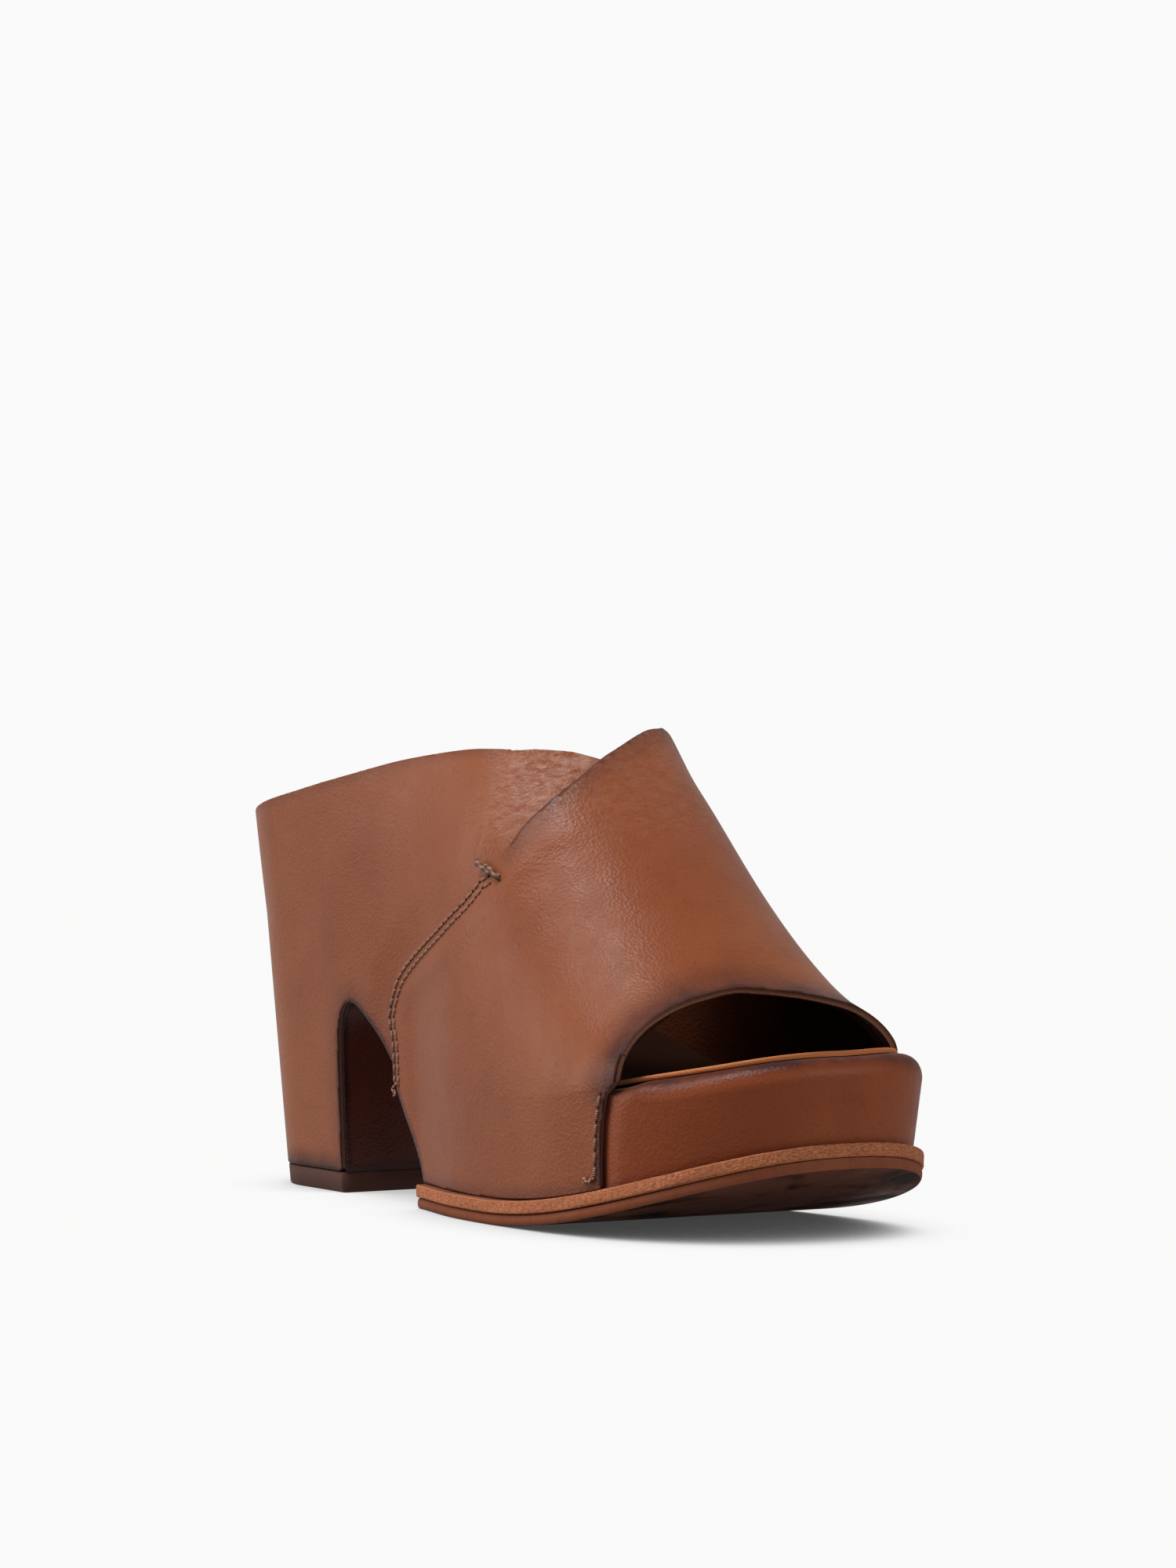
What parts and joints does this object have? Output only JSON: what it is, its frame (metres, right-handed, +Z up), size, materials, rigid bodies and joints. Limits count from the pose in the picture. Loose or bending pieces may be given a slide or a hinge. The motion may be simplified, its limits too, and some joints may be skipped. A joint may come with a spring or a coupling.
{
  "type": "platform clog",
  "caption": "Right-foot peep-toe platform clog with a block heel, its wooden platform and heel wrapped in two crossing leather panels.",
  "frame": {"origin": "on the ground under the middle of the clog's bounding box", "axes": "+Z up, toe towards -Y, heel towards +Y, the big-toe side towards +X"},
  "size_m": [0.0922, 0.2528, 0.1268],
  "materials": {
    "brown_leather": "smooth pull-up leather, burnished at the edges",
    "tan_leather": "smooth unfinished tan leather",
    "dark_leather": "smooth dark oxblood leather",
    "welt_leather": "vegetable-tanned edge, waxed",
    "wood": "raw sanded",
    "rubber": "matt moulded rubber",
    "foam": "closed-cell cushion, matt",
    "fibreboard": "pressed fibreboard",
    "steel": "bright",
    "thread": "waxed twisted thread"
  },
  "bodies": {
    "root": {"rear_panel": "brown_leather", "front_panel": "brown_leather", "toe_wrap": "brown_leather", "rear_lining": "tan_leather", "front_lining": "tan_leather", "sock_lining": "tan_leather", "footbed_foam": "foam", "insole_board": "fibreboard", "shank": "steel", "platform_core": "wood", "heel_block": "wood", "heel_screw_1": "steel", "heel_screw_2": "steel", "heel_breast_cover": "dark_leather", "waist_cover": "dark_leather", "heel_top_piece": "rubber", "top_piece_nail_1": "steel", "top_piece_nail_2": "steel", "top_piece_nail_3": "steel", "top_piece_nail_4": "steel", "welt": "welt_leather", "sole_filler": "fibreboard", "outsole": "rubber", "quarter_stitch_row_1": "thread", "quarter_stitch_row_2": "thread", "bar_tack": "thread", "toe_stitch_row_outer": "thread", "toe_stitch_row_inner": "thread", "back_stitch_row": "thread"}
  },
  "joints": []
}
